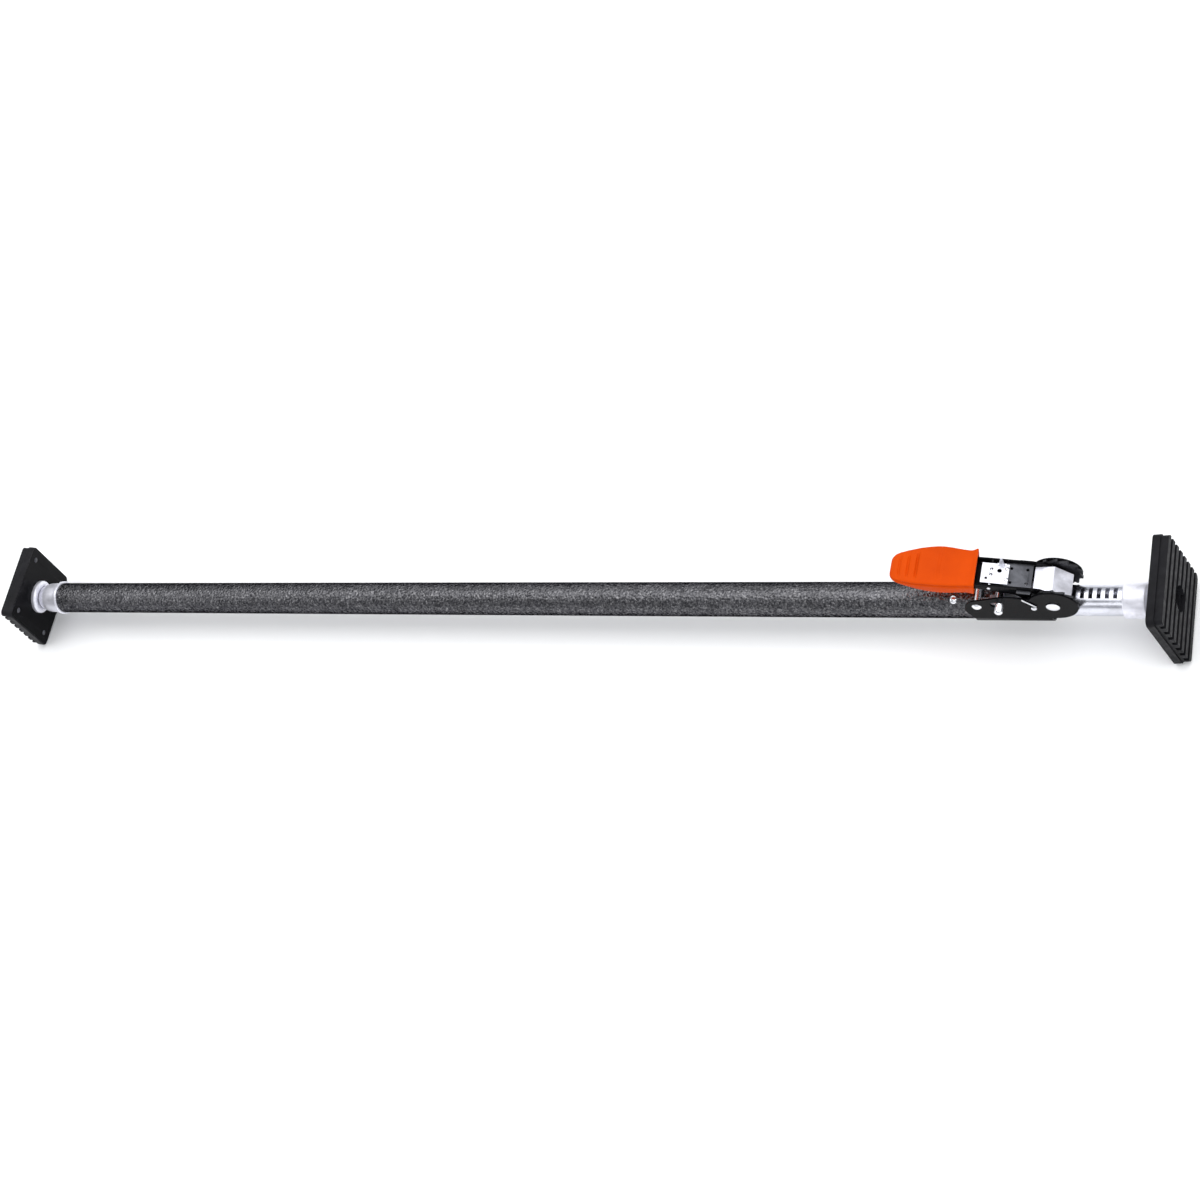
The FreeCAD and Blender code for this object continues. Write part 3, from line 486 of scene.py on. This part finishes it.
def grip_section(along):
    """One half of the grip's cross-section, from the top's middle to the bottom's."""
    half, top, low = blend_table(GRIP_ROWS, along)
    tall = top - low
    points = []
    for step in range(PANEL_STEPS + 1):
        share = step / PANEL_STEPS
        fade = max(0.0, 1 - (share / GROOVE_REACH) ** 8)
        drop = PANEL_DROP * share ** 3 + groove(along) * fade
        points.append(((half - PANEL_INSET) * share, top - drop))
    squash = min(1.0, tall / SHOULDER_TALL)
    points += [(half - inward, top - drop * squash) for inward, drop in GRIP_SHOULDER]
    points += [(half - inward, low + min(rise, share * tall))
               for inward, rise, share in GRIP_SKIRT]
    points += [(share * half, low) for share in GRIP_SOLE]
    return points


def full_ring(half_points, along, bm):
    """Closed ring of vertices from a half section and its mirror image."""
    ring = half_points + [(-across, above) for across, above in half_points[-2:0:-1]]
    return [bm.verts.new(handle_point(along, across, above)) for across, above in ring]


def bridge(bm, first, second):
    """Faces between two rings of as many vertices."""
    count = len(first)
    for index in range(count):
        after = (index + 1) % count
        bm.faces.new((first[index], first[after], second[after], second[index]))


def build_grip(material):
    """Moulded grip: top panel with cross grooves, skirt, flared lip, pocket for the channel."""
    bm = bmesh.new()
    stations = [row[0] for row in GRIP_ROWS if row[0] < GRIP_RINGS[0][0]]
    for start, spacing, count in GRIP_RINGS:
        stations += [start + spacing * step for step in range(count)]
    stations += [row[0] for row in GRIP_ROWS if row[0] > stations[-1]]
    rings = [full_ring(grip_section(along), along, bm) for along in stations]
    for first, second in zip(rings, rings[1:]):
        bridge(bm, first, second)
    bm.faces.new(rings[-1])
    lip, pocket = [], []
    for across, above in grip_section(stations[0]):
        inside = min(across, POCKET_HALF), min(max(above, POCKET_LOW), POCKET_TOP)
        lip.append((across + (inside[0] - across) * LIP_SHARE,
                    above + (inside[1] - above) * LIP_SHARE))
        pocket.append(inside)
    lip_ring = full_ring(lip, stations[0], bm)
    mouth_ring = full_ring(pocket, stations[0], bm)
    end_ring = full_ring(pocket, POCKET_END, bm)
    bridge(bm, lip_ring, rings[0])
    bridge(bm, mouth_ring, lip_ring)
    bridge(bm, end_ring, mouth_ring)
    bm.faces.new(reversed(end_ring))
    bmesh.ops.remove_doubles(bm, verts=bm.verts, dist=SAME_GRIP_POINT)
    bmesh.ops.dissolve_degenerate(bm, dist=SAME_GRIP_POINT, edges=bm.edges)
    bmesh.ops.recalc_face_normals(bm, faces=bm.faces)
    mesh = bpy.data.meshes.new("handle_grip_moulding")
    bm.to_mesh(mesh)
    bm.free()
    piece = add_piece("handle_grip_moulding", mesh, material, "orange_grip", "handle_grip")
    smooth = piece.modifiers.new("smooth", "SUBSURF")
    smooth.levels = 1
    smooth.render_levels = 1


def build_pad(side, material):
    """Rubber pad with every edge rolled, as it comes out of its mould."""
    node = side + "_rubber_pad"
    bm = bmesh.new()
    bm.from_mesh(frame["nodes"][node].data)
    bmesh.ops.remove_doubles(bm, verts=bm.verts, dist=SAME_POINT)
    bmesh.ops.dissolve_limit(bm, angle_limit=math.radians(1), verts=bm.verts, edges=bm.edges)
    sharp = [edge for edge in bm.edges
             if len(edge.link_faces) == 2 and edge.calc_face_angle() > SHARP_FOLD]
    bmesh.ops.bevel(bm, geom=sharp, offset=PAD_EDGE * MM, segments=PAD_EDGE_STEPS,
                    affect="EDGES", profile=0.5, clamp_overlap=True)
    bmesh.ops.recalc_face_normals(bm, faces=bm.faces)
    mesh = bpy.data.meshes.new(side + "_pad_rubber")
    bm.to_mesh(mesh)
    bm.free()
    piece = add_piece(side + "_pad_rubber", mesh, material, "black_rubber", node)
    normals = piece.modifiers.new("normals", "WEIGHTED_NORMAL")
    normals.keep_sharp = True


# --- The scene ---------------------------------------------------------------------------

hammertone = hammered_black()
enamel = black_paint()
bright_zinc = zinc("bright_zinc_plate", (0.80, 0.81, 0.87), 0.26, 0.44, 210, 0.85)
tube_zinc = zinc("drawn_zinc_tube", (0.72, 0.73, 0.80), 0.17, 0.32, 160)
satin_zinc = zinc("satin_zinc_plate", (0.90, 0.90, 0.98), 0.34, 0.50, 260, 0.6)
fastener_zinc = zinc("zinc_fastener", (0.88, 0.89, 0.93), 0.16, 0.30, 500)
ball_steel = zinc("polished_ball", (0.66, 0.67, 0.71), 0.08, 0.20, 700)
spring_wire = zinc("spring_wire", (0.80, 0.81, 0.84), 0.18, 0.36, 900)
blackened = dark_steel()
gunmetal = pawl_steel()
orange = orange_grip()
rubber = black_rubber()
nylon = black_plastic()

# Material, width of the rounded edges in mm, and the CAD nodes that they go to
DRESSING = (
    (hammertone, 0.0, ["outer_tube"]),
    (enamel, 0.45, ["saddle_bracket", "handle_frame"]),
    (enamel, 0.4, ["left_back_plate", "right_back_plate"]),
    (gunmetal, 0.2, ["left_pad_rivets", "right_pad_rivets"]),
    (tube_zinc, 0.0, ["inner_tube"]),
    (satin_zinc, 0.4, ["left_ferrule", "right_ferrule", "left_pad_collar", "right_pad_collar",
                       "gear_guard"]),
    (bright_zinc, 0.35, ["release_pull", "lock_pawl"]),
    (fastener_zinc, 0.3, ["release_bar", "axle", "rear_cross_bolt", "spacer_sleeves"]),
    (fastener_zinc, 0.15, ["bush_rivets", "saddle_rivets", "stop_pin", "guard_rivets",
                           "pull_rivets", "grip_pin", "pawl_cross_pin", "left_pad_screw",
                           "right_pad_screw"]),
    (ball_steel, 0.3, ["left_ball_stud", "right_ball_stud"]),
    (spring_wire, 0.0, ["retaining_wire", "drive_pawl_spring", "lock_springs"]),
    (blackened, 0.25, ["drive_pinion", "near_ratchet_wheel", "far_ratchet_wheel"]),
    (gunmetal, 0.3, ["drive_pawl"]),
    (orange, 0.0, ["handle_grip"]),
    (rubber, 0.0, ["left_rubber_pad", "right_rubber_pad"]),
    (nylon, 0.2, ["tube_bush", "inner_glide", "left_ball_seat", "right_ball_seat"]),
)
for material, bevel, nodes in DRESSING:
    for node in nodes:
        dress(node, material, bevel)
build_grip(orange)
for side in ("left", "right"):
    build_pad(side, rubber)

bpy.context.scene.view_settings.view_transform = "Standard"
make_camera()
make_floor(floor_paint())
make_light()
